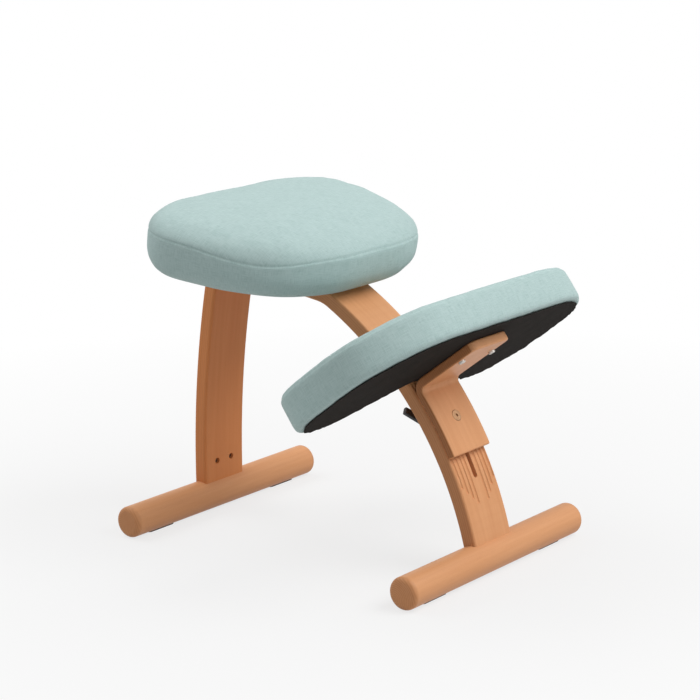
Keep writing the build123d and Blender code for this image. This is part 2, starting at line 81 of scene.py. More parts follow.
CAD_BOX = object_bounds()
MM = 0.001
MM_IN_METRE = 1000.0

# The front leg's arc has the slide joint's axis as its centre
FRONT_ARC_CENTRE = Vector(next(j for j in frame["joints"] if j["name"] == "knee_slide")["pos_m"])
FRONT_ARC_RADIUS = 0.567
REAR_ARC_CENTRE = Vector((0, -1.35636, 0.048))
REAR_ARC_RADIUS = 1.653


def length(name, description, default):
    return FloatProperty(name=name, description=description, default=default, unit="LENGTH")


def colour(name, description, default):
    return FloatVectorProperty(
        name=name, description=description, default=default, size=3, subtype="COLOR"
    )


def angle(name, description, degrees):
    return FloatProperty(
        name=name, description=description, default=radians(degrees), subtype="ANGLE"
    )


def number(name, description, default):
    return FloatProperty(name=name, description=description, default=default)


def count(name, description, default):
    return IntProperty(name=name, description=description, default=default)


def wattage(name, description, default):
    return FloatProperty(name=name, description=description, default=default, unit="POWER")


def position(name, description, default):
    return FloatVectorProperty(
        name=name, description=description, default=default, subtype="TRANSLATION"
    )


class ChairCushions(bpy.types.PropertyGroup):
    """Sizes of the seat and knee cushions and of their sewing."""

    voxel: length("Grid", "Mesh grid of a cover before it is stuffed", 0.0047)
    pressure: number("Pressure", "Push of the foam on its cover", 4.0)
    swell: length("Swell", "How far the unstuffed top lies below the finished one", 0.005)
    slack: length("Slack", "How far the unstuffed sides lie inside the finished ones", -0.0014)
    swell_limit: length("Swell limit", "Most that a point of the cover moves when stuffed", 0.007)
    steps: count("Steps", "Cloth steps while the cover fills", 20)
    evening: count("Evening", "Rounds that even out the stuffed form", 25)
    crease: number("Crease", "Share of the cloth's own creases that stays", 0.25)
    seam_depth: length("Seam depth", "How deep the sewn seam draws in", 0.0013)
    seam_width: length("Seam width", "Half width of the seam's groove", 0.0028)
    pucker: length("Pucker", "Height of the soft unevenness of the cover", 0.0009)
    seat_thickness: length("Seat thickness", "Height of the seat's side and rolled edge", 0.096)
    seat_tuck: length("Seat tuck", "Radius of the seat's lower edge", 0.042)
    seat_roll: length("Seat roll", "Radius of the seat's upper edge", 0.022)
    seat_fall: length("Seat fall", "Length of the curve from the top to the front seam", 0.058)
    side_fall: number("Side fall", "Share of that fall at the seat's left and right sides", 0.6)
    seat_crown: length("Seat crown", "Rise of the seat's middle", 0.009)
    seat_seam: length("Seat seam", "Height of the seat's seam above its underside", 0.070)
    seat_dip: length("Seat dip", "Drop of the seam at the seat's front corners", 0.013)
    dip_reach: length("Dip reach", "How far that drop reaches", 0.085)
    seat_margin: length("Seat margin", "Bare edge round the seat's black cloth", 0.009)
    knee_thickness: length("Knee thickness", "Height of the knee cushion's side", 0.061)
    knee_tuck: length("Knee tuck", "Radius of the knee cushion's lower edge", 0.008)
    knee_roll: length("Knee roll", "Radius of the knee cushion's upper edge", 0.008)
    knee_crown: length("Knee crown", "Rise of the knee cushion's middle", 0.008)
    knee_seam: length("Knee seam", "Height of the knee cushion's seam", 0.0555)
    knee_crown_y: length("Knee crown place", "Place of the crown along the knee cushion", -0.038)
    knee_margin: length("Knee margin", "Bare edge round the knee rest's black cloth", 0.001)


class ChairFinishes(bpy.types.PropertyGroup):
    """Colours of the chair's materials."""

    beech: colour("Beech", "Lacquered beech", (0.66, 0.305, 0.136))
    beech_light: colour("Beech light", "Pale bands of the grain", (0.74, 0.37, 0.18))
    # The dark tint also serves as painted shade on the ends and sides of the wood, most on the
    # bracket's sides
    beech_dark: colour("Beech dark", "Flecks and end grain", (0.36, 0.135, 0.045))
    # Redder, darker tints of the rear leg: partly its own tone, partly painted shade under the seat
    beech_rear_shaded: colour("Beech rear", "Redder beech of the rear leg", (0.645, 0.225, 0.071))
    beech_rear_shaded_pale: colour("Beech rear light", "Pale bands of that leg", (0.715, 0.275, 0.097))
    plywood: colour("Plywood", "Raw birch plywood", (0.62, 0.47, 0.30))
    linen: colour("Linen", "Mint linen", (0.42, 0.56, 0.546))
    linen_light: colour("Linen light", "Raised threads of the linen", (0.50, 0.632, 0.618))
    linen_dark: colour("Linen dark", "Gaps between the threads", (0.32, 0.455, 0.44))
    black_cloth: colour("Black cloth", "Non-woven cloth under the cushions", (0.013, 0.011, 0.0095))
    zinc: colour("Zinc", "Zinc plated steel", (0.62, 0.60, 0.56))
    # Painted shade: the barrel nuts are darkened for the shade in the holes they sit in
    shaded_nut_zinc: colour("Dark zinc", "Oiled barrel nuts", (0.16, 0.12, 0.09))
    bronze: colour("Bronze", "Bronzed head of the clamp bolt", (0.42, 0.24, 0.13))
    brass: colour("Brass", "Turned brass insert", (0.75, 0.58, 0.28))
    plastic: colour("Plastic", "Black moulded plastic", (0.014, 0.014, 0.016))
    rubber: colour("Rubber", "Dark brown rubber of the feet", (0.085, 0.06, 0.045))


class ChairStage(bpy.types.PropertyGroup):
    """Camera and light of the picture."""

    azimuth: angle("Azimuth", "Turn of the camera round the chair", -50.83)
    elevation: angle("Elevation", "Height of the camera above the horizon", 13.92)
    roll: angle("Roll", "Turn of the picture", -0.99)
    target_y: length("Target depth", "Place along the chair that the camera looks at", -0.00342)
    target_z: length("Target height", "Height that the camera looks at", 0.30916)
    distance: length("Distance", "Distance of the camera from its target", 3.41759)
    lens: number("Lens", "Focal length in millimetres", 111.71)
    sky: number("Sky", "Strength of the light from all round", 0.42)
    key: wattage("Key", "Power of the lamp in front", 81.0)
    key_place: position("Key place", "Place of the lamp in front", (0.9, -2.1, 2.8))
    back: wattage("Back", "Power of the lamp behind", 36.0)
    back_place: position("Back place", "Place of the lamp behind", (-0.5, 1.9, 2.5))
    lamp_size: length("Lamp size", "Width of each lamp", 2.4)
    floor_radius: length("Floor radius", "Radius of the round floor", 7.0)
    floor_shade: colour("Floor shade", "Colour of the floor under the light", (0.65, 0.65, 0.65))
    floor_white: number("Floor white", "Share of plain white in the floor by the chair", 0.75)


# Node trees


class Wire:
    """An output socket of a node tree. Arithmetic with it adds Math nodes."""

    def __init__(self, tree, socket=None):
        self.tree = tree
        self.socket = socket

    def add(self, kind, settings=None, inputs=None, output=0):
        """Add a node, set its settings, then its sockets, and return one of its outputs."""
        node = self.tree.nodes.new(kind)
        for name, value in (settings or {}).items():
            if name == "stops":
                self.set_stops(node.color_ramp.elements, value)
            else:
                setattr(node, name, value)
        for name, value in (inputs or {}).items():
            if isinstance(value, Wire):
                self.tree.links.new(value.socket, node.inputs[name])
            else:
                node.inputs[name].default_value = value
        return Wire(self.tree, node.outputs[output] if node.outputs else None)

    @staticmethod
    def set_stops(elements, stops):
        """Put a ramp's stops, each a place and a grey value."""
        while len(elements) < len(stops):
            elements.new(1.0)
        for element, (place, value) in zip(elements, stops):
            element.position = place
            element.color = (value, value, value, 1)

    def math(self, operation, first, second=0.0):
        return self.add("ShaderNodeMath", {"operation": operation}, {0: first, 1: second})

    def __add__(self, other):
        return self.math("ADD", self, other)

    def __radd__(self, other):
        return self.math("ADD", other, self)

    def __sub__(self, other):
        return self.math("SUBTRACT", self, other)

    def __rsub__(self, other):
        return self.math("SUBTRACT", other, self)

    def __mul__(self, other):
        return self.math("MULTIPLY", self, other)

    def __truediv__(self, other):
        return self.math("DIVIDE", self, other)

    def __pow__(self, other):
        return self.math("POWER", self, other)

    def __abs__(self):
        return self.math("ABSOLUTE", self)


def xyz(wire, x, y, z):
    return wire.add("ShaderNodeCombineXYZ", inputs={0: x, 1: y, 2: z})


def parts_of(wire):
    """The three numbers of a vector."""
    return [wire.add("ShaderNodeSeparateXYZ", inputs={0: wire}, output=index) for index in range(3)]


def grain(wire, vector, detail):
    """Soft noise round 0.5 over a vector in periods of the noise."""
    inputs = {"Vector": vector, "Scale": 1.0, "Detail": detail, "Roughness": 0.5}
    return wire.add("ShaderNodeTexNoise", inputs=inputs)


def ramp(wire, value, stops):
    return wire.add("ShaderNodeValToRGB", {"stops": stops}, {0: value})


def mix(wire, factor, first, second):
    """Mix two colours, each a property's three numbers or a wire."""
    ends = [end if isinstance(end, Wire) else (*end, 1) for end in (first, second)]
    inputs = {0: factor, 6: ends[0], 7: ends[1]}
    return wire.add("ShaderNodeMix", {"data_type": "RGBA"}, inputs, output=2)


def bumped(wire, height, distance, strength):
    inputs = {"Strength": strength, "Distance": distance, "Height": height}
    return wire.add("ShaderNodeBump", inputs=inputs)


def new_material(name):
    """A material with an empty tree, and a wire to add its nodes with."""
    material = bpy.data.materials.new(name)
    material.use_nodes = True
    material.node_tree.nodes.clear()
    return material, Wire(material.node_tree)


def close_material(material, wire, **sockets):
    """Give the tree its shader and output. Socket names have their spaces as underscores."""
    named = {name.replace("_", " "): value for name, value in sockets.items()}
    surface = wire.add("ShaderNodeBsdfPrincipled", inputs=named)
    wire.add("ShaderNodeOutputMaterial", inputs={"Surface": surface})
    return material


def in_millimetres(wire):
    place = wire.add("ShaderNodeTexCoord", output="Object")
    return [axis * MM_IN_METRE for axis in parts_of(place)]


def settings():
    scene = bpy.context.scene
    return scene.chair_cushions, scene.chair_finishes, scene.chair_stage


def dress(material, slot, *nodes):
    """Give CAD nodes a finish."""
    for node in nodes:
        piece = frame["nodes"][node]
        piece.data.materials.clear()
        piece.data.materials.append(material)


# Wood. The sizes of its grain are in millimetres, and each mark has a length and a width

BROAD_BAND = (260, 26)
FINE_BAND = (150, 5.5)
FIBRE = (28, 0.5)
FLECK = (2.6, 0.55)
PLY = 1.9
RING_PITCH = 3.2
PITH = (14.0, -9.0)
BOARD_FIBRE = (40, 0.9)
BOARD_PLY = 3.0


def streaks(wire, along, across, depth, mark, detail):
    """Soft noise drawn out along the grain, in marks of a length and a width."""
    long, wide = mark
    return grain(wire, xyz(wire, along / long, across / wide, depth / wide), detail)


def beech(name, place_grain, end_grain_and_shade, laminated=True, sawn_and_shade=0.30, tints=None):
    """Lacquered beech. place_grain gives the distances along and across the grain and into the
    wood. Its share of the dark tint on ends or sides stands partly for darker end grain and ply
    edges, and partly for painted shade on those faces."""
    finishes = settings()[1]
    plain, pale = tints or (finishes.beech, finishes.beech_light)
    material, wire = new_material(name)
    along, across, depth = place_grain(wire, *in_millimetres(wire))
    broad = streaks(wire, along, across, depth, BROAD_BAND, 3)
    bands = streaks(wire, along, across, depth, FINE_BAND, 2)
    fibres = streaks(wire, along, across, depth, FIBRE, 2)
    flecks = streaks(wire, along, across, depth, FLECK, 1)
    fleck = ramp(wire, flecks, [(0.0, 0), (0.62, 0), (0.72, 1)])
    tone = broad * 0.55 + bands * 0.45 + fibres * 0.22
    if laminated:
        layer = wire.math("FLOOR", depth / PLY)
        veneer = wire.add("ShaderNodeTexWhiteNoise", {"noise_dimensions": "1D"}, {"W": layer})
        off_joint = wire.math("PINGPONG", depth / PLY, 0.5)
        glue = ramp(wire, off_joint, [(0.0, 1), (0.05, 0), (1.0, 0)])
        tone = tone + (veneer - 0.5) * 0.16 - glue * 0.1
    body = mix(wire, ramp(wire, tone, [(0.40, 0), (0.85, 1)]), plain, pale)
    body = mix(wire, fleck * 0.16, body, finishes.beech_dark)
    # Ends of bars and sides of legs go towards the dark tint: partly darker end grain and ply
    # edges, partly painted shade on those faces
    ends, rings = end_grain_and_shade(wire, along, across, depth)
    body = mix(wire, ends * (sawn_and_shade + rings * 0.22), body, finishes.beech_dark)
    height = fibres * 0.6 + fleck * -0.5
    return close_material(
        material,
        wire,
        Base_Color=body,
        Roughness=0.40 + fibres * 0.12,
        Coat_Weight=0.02,
        Coat_Roughness=0.28,
        Specular_IOR_Level=0.2,
        Normal=bumped(wire, height, 0.00012, 0.5),
    )


def bar_grain(bar):
    """Grain of a turned bar, which runs along its length."""
    low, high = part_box(bar)
    middle = (low + high) / 2 / MM

    def along_bar(wire, x, y, z):
        return x, y - middle.y, z - middle.z

    return along_bar


def bar_ends_and_shade(bar):
    """Rings on the round ends of a bar, off its middle as in a bar cut from a plank, and a mask of
    those ends for the dark tint: partly end grain, partly painted shade.
    """
    low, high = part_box(bar)
    half = (high.x - low.x) / 2 / MM

    def end_rings_and_shade(wire, along, across, depth):
        ends = ramp(wire, abs(along) / half, [(0.0, 0), (0.955, 0), (0.995, 1)])
        away = ((across - PITH[0]) ** 2 + (depth - PITH[1]) ** 2) ** 0.5
        rings = wire.math("SINE", away * (2 * pi / RING_PITCH)) * 0.5 + 0.5
        return ends, rings

    return end_rings_and_shade


def ply_edges_and_shade(leg):
    """The cut sides of a bent leg, which show the edges of its plies, and a mask of those sides for
    the dark tint: partly ply edges, partly painted shade.
    """
    low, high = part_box(leg)
    half = (high.x - low.x) / 2 / MM

    def plies_and_shade(wire, along, across, depth):
        sides = ramp(wire, abs(across) / half, [(0.0, 0), (0.965, 0), (0.99, 1)])
        plies = wire.math("SINE", depth * (pi / PLY)) * 0.5 + 0.5
        return sides, plies

    return plies_and_shade


def arc_grain(centre, radius, facing):
    """Grain of a bent leg, along its arc. facing is the way, in Y, that its outer face looks."""

    def along_arc(wire, x, y, z):
        out = (y - centre.y / MM) * facing
        up = z - centre.z / MM
        away = (out**2 + up**2) ** 0.5
        along = wire.math("ARCTAN2", up, out) * (radius / MM)
        return along, x, radius / MM - away

    return along_arc


def plywood():
    """Raw birch plywood with its plies on the edges."""
    finishes = settings()[1]
    material, wire = new_material("birch_plywood")
    x, y, z = in_millimetres(wire)
    fibres = streaks(wire, x, y, z, BOARD_FIBRE, 3)
    plies = wire.math("SINE", z * (2 * pi / BOARD_PLY)) * 0.5 + 0.5
    darker = [part * 0.7 for part in finishes.plywood]
    return close_material(
        material,
        wire,
        Base_Color=mix(wire, fibres * 0.5 + plies * 0.2, finishes.plywood, darker),
        Roughness=0.7,
        Normal=bumped(wire, fibres, 0.0001, 0.4),
    )


# Fittings. The sizes of their marks are in millimetres

TURNING = (0.25, 1.5)
STAIN = 3
DUST = 14


def spots(wire, x, y, z, size, detail):
    """Soft noise in spots of one size."""
    return grain(wire, xyz(wire, x / size, y / size, z / size), detail)


def plated(name, tint, roughness, scratch):
    """Plated or turned metal with fine turning marks and small stains."""
    material, wire = new_material(name)
    x, y, z = in_millimetres(wire)
    fine, long = TURNING
    marks = grain(wire, xyz(wire, x / fine, y / fine, z / long), 2)
    stains = spots(wire, x, y, z, STAIN, 3)
    stained = [part * 0.55 for part in tint]
    shade = mix(wire, ramp(wire, stains, [(0.45, 0), (0.75, 0.5)]), tint, stained)
    return close_material(
        material,
        wire,
        Base_Color=shade,
        Metallic=1.0,
        Roughness=roughness + marks * scratch,
        Normal=bumped(wire, marks, 0.00003, 0.4),
    )


def moulded(name, tint, roughness, pebble):
    """Moulded plastic or rubber with a fine pebbled skin."""
    material, wire = new_material(name)
    x, y, z = in_millimetres(wire)
    skin = spots(wire, x, y, z, pebble, 2)
    dust = spots(wire, x, y, z, DUST, 3)
    dusty = [part * 1.9 + 0.01 for part in tint]
    shade = mix(wire, ramp(wire, dust, [(0.5, 0), (0.85, 0.35)]), tint, dusty)
    return close_material(
        material,
        wire,
        Base_Color=shade,
        Roughness=roughness + skin * 0.12,
        Normal=bumped(wire, skin, 0.00006, 0.6),
    )


# Cloth. The sizes of its threads are in millimetres

WEAVE = "weave"
THREAD = 0.9
WANDER = 9
WANDER_WIDTH = 1.1
SLUB = (16, 0.95)
LINEN_CLOUD = 45
FELT = (2.2, 0.6)
FELT_CLOUD = 30
DOT_PITCH = 2.4


def weave_place(wire):
    """Millimetres along and across the cloth, from the piece's own map."""
    place = wire.add("ShaderNodeUVMap", {"uv_map": WEAVE})
    u, v, _ = parts_of(place)
    return u * MM_IN_METRE, v * MM_IN_METRE


def linen(name):
    """Mint linen: a plain weave of uneven threads with slubs both ways."""
    finishes = settings()[1]
    material, wire = new_material(name)
    u, v = weave_place(wire)
    wander = grain(wire, xyz(wire, u / WANDER, v / WANDER, 0.0), 1) * WANDER_WIDTH
    warp = wire.math("SINE", (u + wander) * (2 * pi / THREAD))
    weft = wire.math("SINE", (v + wander) * (2 * pi / THREAD))
    weave = warp * weft
    slub_along = grain(wire, xyz(wire, u / SLUB[0], v / SLUB[1], 0.0), 2)
    slub_across = grain(wire, xyz(wire, u / SLUB[1], v / SLUB[0], 7.0), 2)
    cloud = grain(wire, xyz(wire, u / LINEN_CLOUD, v / LINEN_CLOUD, 3.0), 2)
    slubs = slub_along + slub_across
    tone = (slubs - 1.0) * 1.2 + weave * 0.13 + (cloud - 0.5) * 0.2
    raised = ramp(wire, tone + 0.5, [(0.30, 0), (1.0, 1)])
    sunk = ramp(wire, 0.5 - tone, [(0.45, 0), (1.1, 0.8)])
    pale = mix(wire, raised, finishes.linen, finishes.linen_light)
    body = mix(wire, sunk, pale, finishes.linen_dark)
    return close_material(
        material,
        wire,
        Base_Color=body,
        Roughness=0.93,
        Specular_IOR_Level=0.2,
        Sheen_Weight=0.12,
        Sheen_Roughness=0.55,
        Normal=bumped(wire, weave * 0.35 + slubs * 0.8, 0.0005, 0.5),
    )


def non_woven(name):
    """Black non-woven cloth: tangled fibres pressed in a grid of small dots."""
    finishes = settings()[1]
    material, wire = new_material(name)
    u, v = weave_place(wire)
    felt_along = grain(wire, xyz(wire, u / FELT[0], v / FELT[1], 0.0), 3)
    felt_across = grain(wire, xyz(wire, u / FELT[1], v / FELT[0], 5.0), 3)
    fibres = felt_along + felt_across
    around = 2 * pi / DOT_PITCH
    dots = wire.math("SINE", u * around) * wire.math("SINE", v * around)
    cloud = grain(wire, xyz(wire, u / FELT_CLOUD, v / FELT_CLOUD, 2.0), 2)
    tone = ramp(wire, fibres * 0.5 + (cloud - 0.5) * 0.6, [(0.3, 0), (0.8, 1)])
    paler = [part * 1.9 for part in finishes.black_cloth]
    shade = mix(wire, tone, finishes.black_cloth, paler)
    return close_material(
        material,
        wire,
        Base_Color=shade,
        Roughness=0.9,
        Specular_IOR_Level=0.06,
        Normal=bumped(wire, fibres * 0.5 - dots * 0.4, 0.0004, 0.5),
    )


# Cushions. Their sections start from the underside of the black cloth

UPWARD = Vector((0, 0, 1))
LINE_SPACING = 5 * MM
EASING = 12
CLOTH_GAP = 1.2 * MM
QUARTER = [radians(step) for step in (0, 22, 45, 68, 90)]
CROWN_RINGS = (0.93, 0.8, 0.6, 0.35, 0.15)
GRID_SMOOTHING = 4

# Powers that ease in the top's long fall: up its curve, and towards the front and the sides
CURVE_POWER = 1.4
FRONT_POWER = 3.5
SIDE_POWER = 3

# What is held while a cover fills. The reach is a share of the upper edge's radius
HELD_BELOW = 3 * MM
EDGE_UNDER_SEAM = 6 * MM
EDGE_HOLD = 0.6
EDGE_REACH = 0.8

# Cuts along the seam, in half widths of its groove, and how steep the groove is
SEAM_CUTS = (-2.2, -1, 0, 1, 2.2)
SEAM_STEEPNESS = 2.2

# A cover is smooth below this height, and as uneven as it gets this much higher
SMOOTH_BELOW = 4 * MM
UNEVEN_AFTER = 10 * MM

# Share of its drop by which the top panel's weave is laid outwards
HANG = 0.8

# Where the seat's seam dips on either side, and the share of the lower edge where that starts
SEAT_CORNER = Vector((0.192, -0.086))
DIP_START = 0.6

# Periods of the noise in one metre, on covers and cloth edges, and shares of the finer noise
SWELLS = 22
RIPPLES = 55
RIPPLE_SHARE = 0.5
LONG_WAVES = 42
SHORT_WAVES = 95
SHORT_SHARE = 0.6
SAGS = 60
SAG_START = Vector((3, 1, 2))

# Insets of the black cloth's rings in millimetres, and how loose the cloth is there
CLOTH_RINGS = ((0, 1.0), (3, 0.8), (7, 0.3), (13, 0.0))
CLOTH_WALL = 0.5 * MM
CLOTH_WAVE = 1.6 * MM
CLOTH_SAG = 2.2 * MM


def after(loop):
    """A closed loop from its second member on."""
    return loop[1:] + loop[:1]


def before(loop):
    """A closed loop from its last member on."""
    return loop[-1:] + loop[:-1]


def plane_of(cloth):
    """Matrix of a cushion's own plane, from the underside of its black cloth: X goes across, Y back
    and Z up."""
    mesh = frame["nodes"][cloth].data
    under = max((p for p in mesh.polygons if p.normal.z < 0), key=lambda p: p.area)
    up = -under.normal
    low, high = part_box(cloth)
    middle = (low + high) / 2
    origin = middle + up * (under.center - middle).dot(up)
    across = Vector((1, 0, 0))
    turned = Matrix((across, up.cross(across), up)).transposed().to_4x4()
    return Matrix.Translation(origin) @ turned


def ordered(edges):
    """Vertices of each closed loop of edges, in order. A dict keeps the edges' own order, so that a
    loop starts at the same place in each run."""
    left = dict.fromkeys(edges)
    loops = []
    while left:
        edge = next(iter(left))
        del left[edge]
        loop = [edge.verts[0], edge.verts[1]]
        while loop[-1] is not loop[0]:
            onward = next((e for e in loop[-1].link_edges if e in left), None)
            if onward is None:
                break
            del left[onward]
            loop.append(onward.other_vert(loop[-1]))
        loops.append(loop[:-1] if loop[-1] is loop[0] else loop)
    return loops


def plan_line(cover, place, height, spacing):
    """A cushion's plan line at a height, as even points of its own plane, counter-clockwise."""
    bm = bmesh.new()
    bm.from_mesh(frame["nodes"][cover].data)
    bmesh.ops.transform(bm, matrix=place.inverted(), verts=bm.verts)
    bmesh.ops.remove_doubles(bm, verts=bm.verts, dist=0.01 * MM)
    everything = bm.verts[:] + bm.edges[:] + bm.faces[:]
    bmesh.ops.bisect_plane(
        bm,
        geom=everything,
        plane_co=(0, 0, height),
        plane_no=UPWARD,
        clear_inner=True,
        clear_outer=True,
    )
    outer = max(ordered(bm.edges[:]), key=lambda loop: max(v.co.x for v in loop))
    corners = [v.co.copy() for v in outer]
    bm.free()
    return eased_line(even(corners, spacing), EASING)


def even(corners, spacing):
    """Points at an even spacing along a closed line, counter-clockwise."""
    turned = sum(a.x * b.y - b.x * a.y for a, b in zip(corners, after(corners)))
    if turned < 0:
        corners = corners[::-1]
    runs = list(zip(corners, after(corners)))
    total = sum((b - a).length for a, b in runs)
    wanted = round(total / spacing)
    points = []
    walked = 0.0
    for start, end in runs:
        run = (end - start).length
        while len(points) < wanted and len(points) * total / wanted < walked + run:
            points.append(start.lerp(end, (len(points) * total / wanted - walked) / run))
        walked += run
    return points


def eased_line(points, rounds):
    """A closed line with its changes of curvature eased, as cloth over foam eases them."""
    for _ in range(rounds):
        triples = zip(before(points), points, after(points))
        points = [(a + b * 2 + c) / 4 for a, b, c in triples]
    return points


def outward(points):
    """Outward direction of a plan line at each of its points."""
    normals = []
    for last, following in zip(before(points), after(points)):
        along = (following - last).normalized()
        normals.append(Vector((along.y, -along.x, 0)))
    return normals


class Pad:
    """One cushion: its plane, its plan line and the sizes of its section."""

    def __init__(self, cover, cloth, thickness, tuck, roll, crown, seam, fall=0.0, crown_y=0.0):
        self.place = plane_of(cloth)
        self.thickness = thickness
        self.tuck = tuck
        self.roll = roll
        self.crown = crown
        self.seam = seam
        self.fall = fall
        self.base = CLOTH_GAP
        self.crown_centre = Vector((0, crown_y, 0))
        self.line = plan_line(cover, self.place, (tuck + thickness - roll) / 2, LINE_SPACING)
        self.sides = outward(self.line)
        self.tree = KDTree(len(self.line))
        for index, point in enumerate(self.line):
            self.tree.insert(point.to_2d().to_3d(), index)
        self.tree.balance()

    def nearest(self, point):
        """The plan line's point nearest to a spot: its index, and the distances in and along."""
        spot = point.to_2d().to_3d()
        near, index, _ = self.tree.find(spot)
        away = spot - near
        side = self.sides[index]
        return index, max(0.0, -away.dot(side)), away.x * -side.y + away.y * side.x

    def section(self):
        """Rings of the cover from the underside to the crown: height, inset and shrink of the round
        section, and height and inset where the top has its long fall."""
        rings = []
        for t in QUARTER:
            height = max(self.base, self.tuck * (1 - cos(t)))
            inset = self.tuck * (1 - sin(t))
            rings.append((height, inset, 1, height, inset))
        for t in QUARTER:
            height = fall_height = self.thickness - self.roll * (1 - sin(t))
            inset = fall_inset = self.roll * (1 - cos(t))
            if self.fall:
                slope = (t / QUARTER[-1]) ** CURVE_POWER
                fall_height = self.thickness - (self.thickness - self.seam) * (1 - slope) ** 2
                fall_inset = self.fall * slope
            rings.append((height, inset, 1, fall_height, fall_inset))
        for shrink in CROWN_RINGS:
            height = self.thickness + (self.crown - settings()[0].swell) * (1 - shrink**2)
            rings.append((height, self.roll, shrink, height, self.fall or self.roll))
        return rings

    def ring(self, height, inset, shrink, fall_height, fall_inset):
        """Points of one ring. The long fall is whole at the front and partial at the sides."""
        cushions = settings()[0]
        points = []
        for point, side in zip(self.line, self.sides):
            share = max(0.0, -side.y) ** FRONT_POWER
            share += cushions.side_fall * abs(side.x) ** SIDE_POWER
            spot = point - side * (inset + (fall_inset - inset) * share + cushions.slack)
            spot = self.crown_centre + (spot - self.crown_centre) * shrink
            points.append(Vector((spot.x, spot.y, height + (fall_height - height) * share)))
        return points


def loop_of(bm, points):
    """A closed loop of new vertices, joined by edges."""
    loop = [bm.verts.new(p) for p in points]
    for pair in zip(loop, after(loop)):
        bm.edges.new(pair)
    return loop


def edges_of(bm, loop):
    return [bm.edges.get(pair) for pair in zip(loop, after(loop))]


def extruded(bm, loop, points):
    """Extrude a closed loop to new places. The new loop has the same order."""
    grown = bmesh.ops.extrude_edge_only(bm, edges=edges_of(bm, loop))["geom"]
    fresh = {part for part in grown if isinstance(part, bmesh.types.BMVert)}
    onward = []
    for vertex in loop:
        ends = [edge.other_vert(vertex) for edge in vertex.link_edges]
        onward.append(next(end for end in ends if end in fresh))
    for vertex, point in zip(onward, points):
        vertex.co = point
    return onward


def ring_stack(rings, both_ends=True):
    """A form through rings of points, closed over its last ring and, if asked, its first."""
    bm = bmesh.new()
    first = last = loop_of(bm, rings[0])
    for points in rings[1:]:
        last = extruded(bm, last, points)
    bmesh.ops.edgeloop_fill(bm, edges=edges_of(bm, last))
    if both_ends:
        bmesh.ops.edgeloop_fill(bm, edges=edges_of(bm, first))
    bmesh.ops.recalc_face_normals(bm, faces=bm.faces)
    return bm


def to_object(bm, name):
    """Finish a bmesh as an object at the origin."""
    mesh = bpy.data.meshes.new(name)
    bm.to_mesh(mesh)
    bm.free()
    piece = bpy.data.objects.new(name, mesh)
    bpy.context.scene.collection.objects.link(piece)
    return piece


def settled(piece):
    """Put the result of a piece's modifiers in its mesh and take the modifiers off."""
    seen = piece.evaluated_get(bpy.context.evaluated_depsgraph_get())
    mesh = bpy.data.meshes.new_from_object(seen)
    piece.modifiers.clear()
    old = piece.data
    piece.data = mesh
    bpy.data.meshes.remove(old)
    mesh.name = piece.name


def gridded(piece, voxel):
    """Lay an even grid over a closed form and smooth its steps."""
    remesh = piece.modifiers.new("grid", "REMESH")
    remesh.mode = "VOXEL"
    remesh.voxel_size = voxel
    settled(piece)
    bm = bmesh.new()
    bm.from_mesh(piece.data)
    for _ in range(GRID_SMOOTHING):
        bmesh.ops.smooth_vert(
            bm, verts=bm.verts, factor=0.5, use_axis_x=True, use_axis_y=True, use_axis_z=True
        )
    bm.to_mesh(piece.data)
    bm.free()


def stuffed(piece, pad):
    """Fill a cover: cloth under pressure, held at its underside and, partly, at its upper edge."""
    cushions = settings()[0]
    start = [v.co.copy() for v in piece.data.vertices]
    held = piece.vertex_groups.new(name="held")
    for index, point in enumerate(start):
        hold = 0.0
        if point.z < HELD_BELOW:
            hold = 1.0
        elif point.z > pad.seam - EDGE_UNDER_SEAM:
            hold = EDGE_HOLD * max(0.0, 1 - pad.nearest(point)[1] / (pad.roll * EDGE_REACH))
        held.add([index], hold, "REPLACE")
    cloth = piece.modifiers.new("stuffing", "CLOTH")
    cloth.settings.vertex_group_mass = held.name
    cloth.settings.quality = 6
    cloth.settings.mass = 0.3
    cloth.settings.tension_stiffness = 18
    cloth.settings.compression_stiffness = 18
    cloth.settings.shear_stiffness = 8
    cloth.settings.bending_stiffness = 1.5
    cloth.settings.use_pressure = True
    cloth.settings.uniform_pressure_force = cushions.pressure
    cloth.settings.effector_weights.gravity = 0
    cloth.point_cache.frame_start = 1
    cloth.point_cache.frame_end = cushions.steps
    scene = bpy.context.scene
    for step in range(1, cushions.steps + 1):
        scene.frame_set(step)
    settled(piece)
    moves = [v.co - empty for v, empty in zip(piece.data.vertices, start)]
    eased = evened(piece.data, moves, cushions.evening)
    for vertex, empty, raw, soft in zip(piece.data.vertices, start, moves, eased):
        move = soft.lerp(raw, cushions.crease)
        if move.length > cushions.swell_limit:
            move *= cushions.swell_limit / move.length
        vertex.co = empty + move
    scene.frame_set(1)


def evened(mesh, moves, rounds):
    """Even out moves over a mesh, so that foam under the cloth keeps its creases shallow."""
    near = [[] for _ in moves]
    for edge in mesh.edges:
        first, second = edge.vertices
        near[first].append(second)
        near[second].append(first)
    for _ in range(rounds):
        sums = [sum((moves[n] for n in around), Vector()) for around in near]
        moves = [(m + s) / (len(around) + 1) for m, s, around in zip(moves, sums, near)]
    return moves


